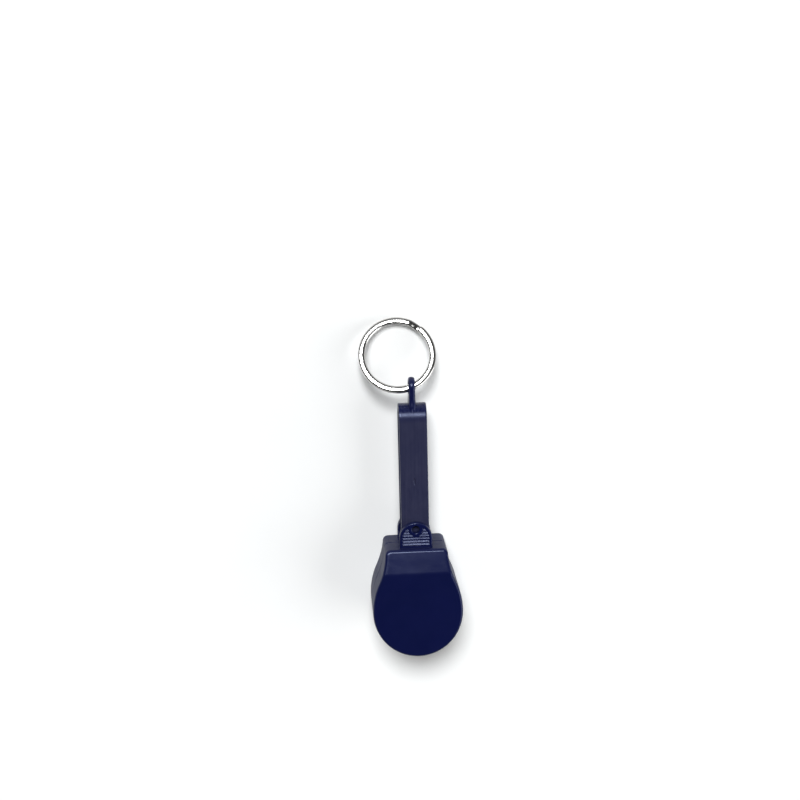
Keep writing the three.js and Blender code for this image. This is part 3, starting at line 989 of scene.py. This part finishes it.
def microfibre():
    """A close knit with a short nap: small loops in rows, soft mottling and a sheen at its edges."""
    s = Shader("microfibre_knit", (0.88, 0.8, 0.69), 0.95)
    loops = 1.0
    for axis, pitch in (("X", 0.34), ("Y", 0.27), ("Z", 0.3)):
        across_the_surface = s.spread(s.facing(axis), 0.0, 1.0, 0.45, 0.75)
        loops = s.math("MULTIPLY", loops, s.math("MAXIMUM", s.rows(axis, pitch), across_the_surface))
    fuzz = s.noise((0.1, 0.1, 0.1), 4.0, 0.7)
    soft = s.noise((2.6, 2.6, 2.6), 3.0)
    base = s.colours(soft, (0.3, (0.84, 0.75, 0.635)), (0.7, (0.93, 0.865, 0.77)))
    shadow = s.colours(loops, (0.0, (0.88, 0.85, 0.81)), (0.5, (1, 1, 1)))
    s.set("Base Color", s.mix(1.0, base, shadow, "MULTIPLY"))
    s.set("Roughness", s.spread(fuzz, 0.86, 1.0))
    knit = s.bump(loops, 0.05, 0.6)
    s.set("Normal", s.bump(fuzz, 0.07, 0.75, knit))
    s.set("Sheen Weight", 0.5)
    s.set("Sheen Roughness", 0.55)
    return s.material


def foam_rubber():
    """Open-cell foam."""
    s = Shader("open_cell_foam", (0.66, 0.6, 0.47), 0.95)
    cells = s.cells((0.5, 0.5, 0.5))
    # painted shade: the cells are darkest at the bottoms of their pits, where the bump is lowest
    s.set("Base Color", s.colours(cells, (0.1, (0.5, 0.45, 0.34)), (0.6, (0.72, 0.67, 0.54))))
    s.set("Roughness", s.spread(cells, 0.85, 1.0))
    s.set("Normal", s.bump(cells, 0.12, 0.8))
    return s.material


def white_plastic():
    """Off-white moulded plastic."""
    s = Shader("carrier_plastic", (0.76, 0.74, 0.69), 0.5)
    clouds = s.noise((3, 3, 3), 3.0)
    s.set("Base Color", s.colours(clouds, (0.3, (0.72, 0.7, 0.64)), (0.7, (0.8, 0.78, 0.73))))
    s.set("Roughness", s.spread(s.noise((1, 1, 1), 4.0), 0.42, 0.6))
    s.set("Normal", s.bump(s.noise((0.25, 0.25, 0.25), 2.0), 0.015, 0.5))
    return s.material


def sewing_thread():
    """Cotton thread, lightly hairy."""
    s = Shader("tie_thread", (0.78, 0.73, 0.62), 0.85)
    hair = s.noise((0.08, 0.08, 0.08), 3.0)
    s.set("Base Color", s.colours(hair, (0.3, (0.66, 0.6, 0.49)), (0.7, (0.84, 0.79, 0.69))))
    s.set("Roughness", s.spread(hair, 0.75, 0.95))
    s.set("Normal", s.bump(hair, 0.03, 0.6))
    return s.material


def nickel():
    """Bright nickel plate over drawn wire, with fine handling marks."""
    s = Shader("nickel_plate", (0.72, 0.71, 0.69), 0.14, 1.0)
    marks = s.noise((0.12, 0.12, 0.12), 4.0, 0.6)
    clouds = s.noise((4, 4, 4), 3.0)
    s.set("Base Color", s.colours(clouds, (0.3, (0.66, 0.645, 0.62)), (0.7, (0.78, 0.77, 0.75))))
    s.set("Roughness", s.spread(marks, 0.1, 0.18))
    s.set("Normal", s.bump(marks, 0.0015, 0.3))
    return s.material


def paper_floor():
    """A pale, matt sheet."""
    s = Shader("pale_floor", (0.86, 0.86, 0.85), 0.8)
    clouds = s.noise((40, 40, 40), 3.0)
    s.set("Base Color", s.colours(clouds, (0.3, (0.85, 0.85, 0.84)), (0.7, (0.87, 0.87, 0.86))))
    s.set("Specular IOR Level", 0.2)
    return s.material


# ---------------------------------------------------------------- the object

case_plastic = moulded_case()
arm_plastic = moulded_arm()


def finish_piece(obj, material, body, slot, *nodes):
    """Gives a piece its material and its body, and hides the CAD nodes that it stands for."""
    obj.data.materials.clear()
    obj.data.materials.append(material)
    if nodes:
        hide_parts(*nodes)
    if body:
        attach(obj, body)


front_case = case_half()
front_case.name = "case_shell_front"
rear_case = copy_for_rear(front_case, "case_shell_rear")
finish_piece(front_case, case_plastic, "case", "navy_plastic", "case_front_half")
finish_piece(rear_case, case_plastic, "case", "navy_plastic", "case_rear_half")

front_arm = arm()
rear_arm = copy_for_rear(front_arm, "rear_spring_arm")
for piece, body, side in ((front_arm, "front_arm", 1), (rear_arm, "rear_arm", -1)):
    finish_piece(piece, arm_plastic, None, "navy_plastic", body)
    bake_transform(piece)

eye = eyelet()
finish_piece(eye, arm_plastic, "tongs", "navy_plastic", "spring_bend")

pads = {
    "cover": (pad_cover(), microfibre(), "microfibre", "rear_pad_fabric"),
    "foam": (pad_foam(), foam_rubber(), "foam", "rear_pad_core"),
    "disc": (pad_disc(), white_plastic(), "white_plastic", "rear_pad_carrier"),
    "tie": (pad_tie(), sewing_thread(), "thread", "rear_pad_thread"),
}
for kind, (piece, material, slot, rear_name) in pads.items():
    rear = copy_for_rear(piece, rear_name)
    for obj, side in ((piece, "front"), (rear, "rear")):
        finish_piece(obj, material, f"{side}_arm", slot, f"{side}_pad_{kind}")

finish_piece(key_ring(), nickel(), "key_ring", "steel", "key_ring")

# ---------------------------------------------------------------- floor, light and camera


DAYLIGHT = (0.97, 0.985, 1)


def add_floor():
    size, level = 3000, -CASE_HALF_DEPTH
    corners = [(-size, -size, level), (size, -size, level), (size, size, level), (-size, size, level)]
    floor = new_object("floor", corners, [(0, 1, 2, 3)])
    floor.data.materials.append(paper_floor())


def add_light(name, towards, width, strength):
    """A distant soft light in the direction towards, as wide as this angle in degrees looks."""
    data = bpy.data.lights.new(name, "SUN")
    data.angle = math.radians(width)
    data.energy = strength
    data.color = DAYLIGHT
    light = bpy.data.objects.new(name, data)
    light.rotation_euler = Vector(towards).to_track_quat("Z", "Y").to_euler()
    bpy.context.scene.collection.objects.link(light)


def add_camera():
    """Looks down on the cleaner from a little above its key ring's end and a little to its left."""
    focal_length, sensor = 62.74, 36
    tilt, yaw, roll = math.radians(11.81), math.radians(3.34), math.radians(1.34)
    aim_at = Vector((0, 29, 0))
    offset = Vector((4.65, -38.2, -455.8))
    turn = Matrix.Rotation(tilt, 3, "X") @ Matrix.Rotation(yaw, 3, "Y") @ Matrix.Rotation(roll, 3, "Z")
    data = bpy.data.cameras.new("camera")
    data.sensor_width = sensor
    data.lens = focal_length
    data.clip_start = 0.01
    camera = bpy.data.objects.new("camera", data)
    place = aim_at - turn.transposed() @ offset
    camera.matrix_world = Matrix.LocRotScale(to_frame(place), turn.transposed(), (1, 1, 1))
    bpy.context.scene.collection.objects.link(camera)
    bpy.context.scene.camera = camera


def add_world():
    """A dim room with pale walls: (height above the horizon, brightness) stops."""
    walls = ((0, 0.85), (0.25, 0.4), (0.55, 0.04))
    world = bpy.data.worlds.new("soft_room")
    world.use_nodes = True
    nodes, links = world.node_tree.nodes, world.node_tree.links
    separate = nodes.new("ShaderNodeSeparateXYZ")
    links.new(nodes.new("ShaderNodeTexCoord").outputs["Generated"], separate.inputs["Vector"])
    ramp = nodes.new("ShaderNodeValToRGB")
    ramp.color_ramp.elements.new(0.5)
    for element, (height, brightness) in zip(ramp.color_ramp.elements, walls):
        element.position = height
        element.color = (*(part * brightness for part in DAYLIGHT), 1)
    links.new(separate.outputs["Z"], ramp.inputs["Fac"])
    links.new(ramp.outputs["Color"], nodes["Background"].inputs["Color"])
    bpy.context.scene.world = world


bpy.context.scene.view_settings.view_transform = "Standard"
add_floor()
add_world()
add_light("window", (-0.09, 0.53, 0.84), 22, 3.3)
add_light("fill", (0.8, -0.23, 0.57), 45, 1.3)
add_camera()
